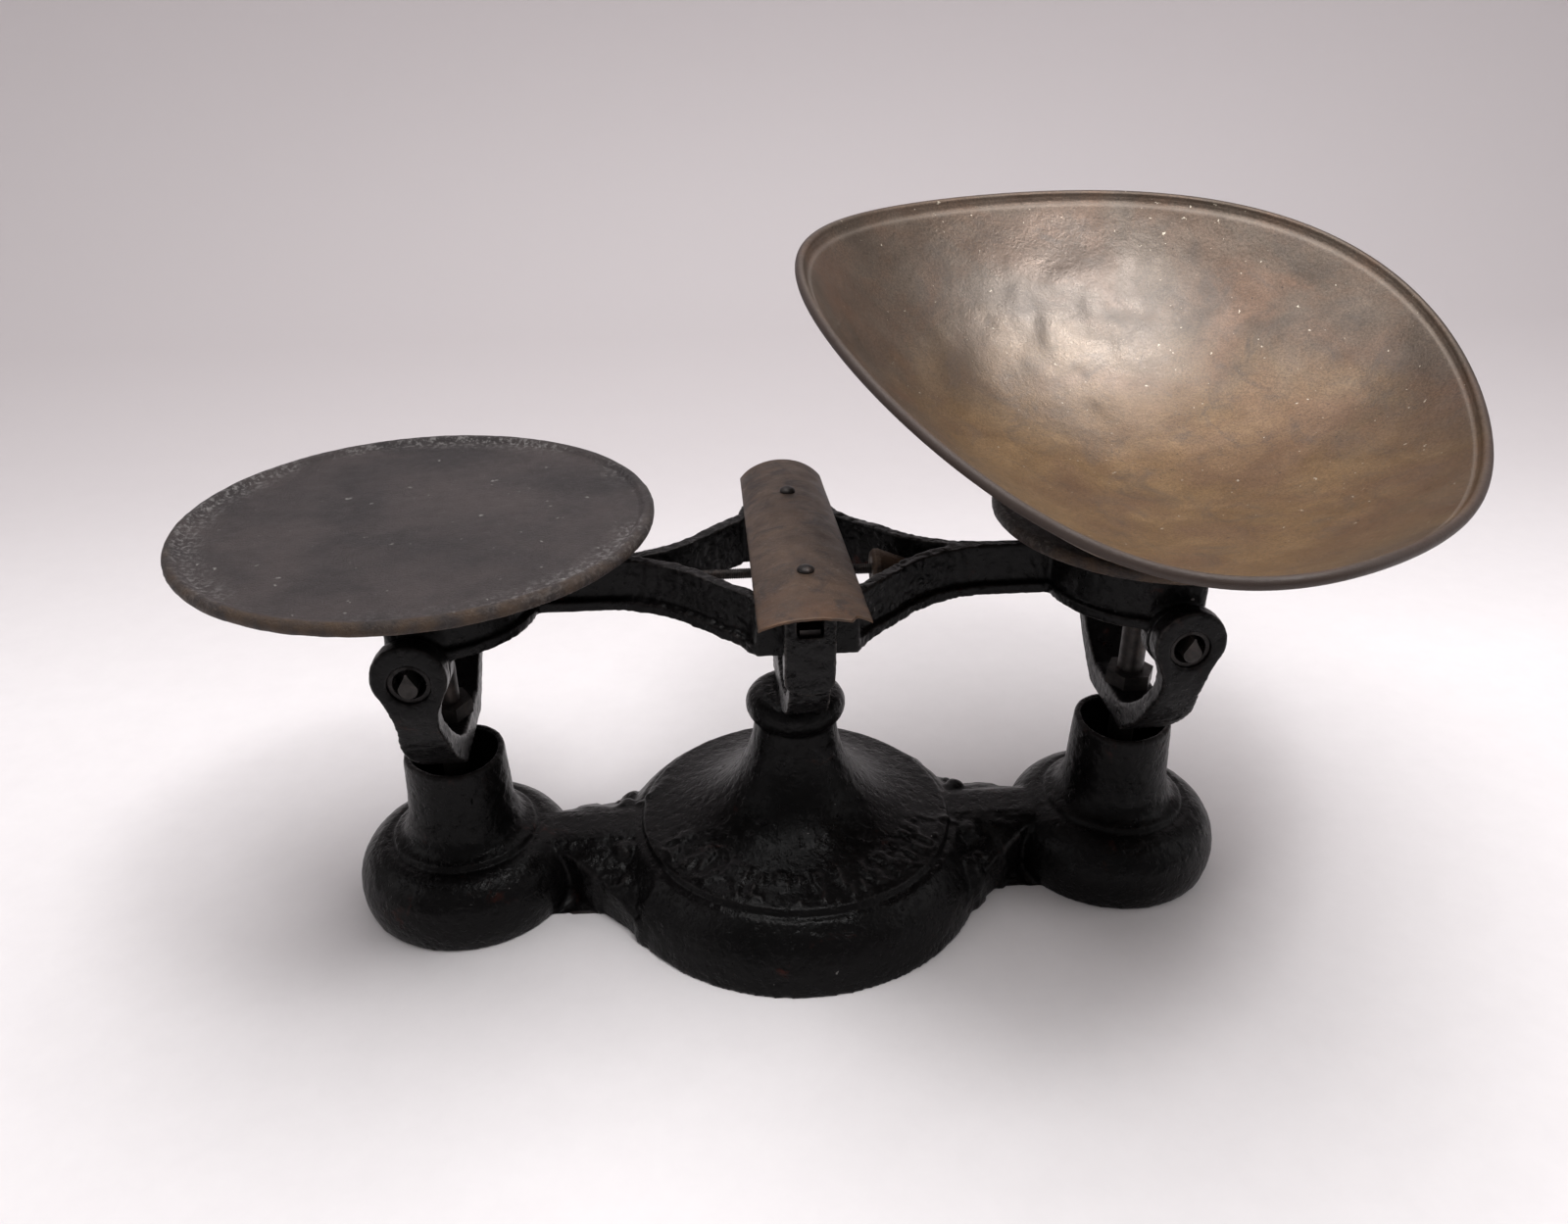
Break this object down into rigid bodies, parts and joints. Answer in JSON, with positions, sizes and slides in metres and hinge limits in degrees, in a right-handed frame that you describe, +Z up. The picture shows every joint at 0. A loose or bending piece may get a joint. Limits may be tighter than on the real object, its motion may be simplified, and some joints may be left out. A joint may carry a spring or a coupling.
{
  "type": "equal arm balance scale",
  "caption": "Counter balance with a black iron base, an equal arm beam on knife edges, a round plate on the left hanger and a loose brass scoop on the right.",
  "frame": {"origin": "on the table under the middle of the base", "axes": "+X along the beam from the plate to the scoop, +Y to the back, +Z up"},
  "size_m": [0.4708, 0.2852, 0.2473],
  "materials": {
    "black_iron": "black japanned casting, worn",
    "worn_iron": "worn black casting, pale wear and bronze edge",
    "steel": "hardened steel, dull",
    "dark_steel": "dark oxidised steel",
    "old_copper": "brown tarnished sheet",
    "old_brass": "golden brown tarnished sheet"
  },
  "bodies": {
    "base": {"base_casting": "black_iron", "fulcrum_stand": "black_iron", "stand_washer": "steel", "stand_nut": "steel", "front_bearing": "steel", "back_bearing": "steel", "link_pivot_pin": "dark_steel"},
    "beam": {"beam": "black_iron", "front_fulcrum_knife": "steel", "back_fulcrum_knife": "steel", "left_front_knife": "steel", "left_back_knife": "steel", "right_front_knife": "steel", "right_back_knife": "steel", "balance_rod": "dark_steel", "cover": "old_copper", "cover_posts": "dark_steel", "cover_screws": "dark_steel"},
    "balance_nut": {"balance_nut": "old_copper"},
    "left_hanger": {"left_stirrup": "black_iron", "left_ring_bearings": "steel", "left_spindle": "dark_steel", "left_lock_nut": "dark_steel", "left_plate": "worn_iron", "left_plate_screw": "dark_steel", "tare_weight": "black_iron", "tare_screws": "dark_steel"},
    "right_hanger": {"right_stirrup": "black_iron", "right_ring_bearings": "steel", "right_spindle": "dark_steel", "right_lock_nut": "dark_steel", "right_platform": "worn_iron", "right_platform_screw": "dark_steel"},
    "scoop": {"scoop": "old_brass"},
    "check_link": {"check_link": "black_iron", "link_end_pins": "dark_steel"}
  },
  "joints": [
    {"name": "beam_swing", "type": "hinge", "parent": "base", "child": "beam", "pos_m": [0, 0, 0.129], "axis": [0, 1, 0], "range_deg": [-2, 2]},
    {"name": "left_hanger_swing", "type": "hinge", "parent": "beam", "child": "left_hanger", "pos_m": [-0.133, 0, 0.129], "axis": [0, 1, 0], "range_deg": [-2, 2]},
    {"name": "right_hanger_swing", "type": "hinge", "parent": "beam", "child": "right_hanger", "pos_m": [0.133, 0, 0.129], "axis": [0, 1, 0], "range_deg": [-2, 2]},
    {"name": "check_link_swing", "type": "hinge", "parent": "base", "child": "check_link", "pos_m": [0, 0, 0.014], "axis": [0, 1, 0], "range_deg": [-2, 2]},
    {"name": "balance_nut_slide", "type": "slide", "parent": "beam", "child": "balance_nut", "axis": [1, 0, 0], "range_m": [-0.01, 0.003]},
    {"name": "scoop_lift", "type": "slide", "parent": "right_hanger", "child": "scoop", "axis": [0, 0, 1], "range_m": [0, 0.12]}
  ],
  "couplings": [
    {"joint": "left_hanger_swing", "follows": "beam_swing", "ratio": -1},
    {"joint": "right_hanger_swing", "follows": "beam_swing", "ratio": -1},
    {"joint": "check_link_swing", "follows": "beam_swing", "ratio": 1}
  ]
}
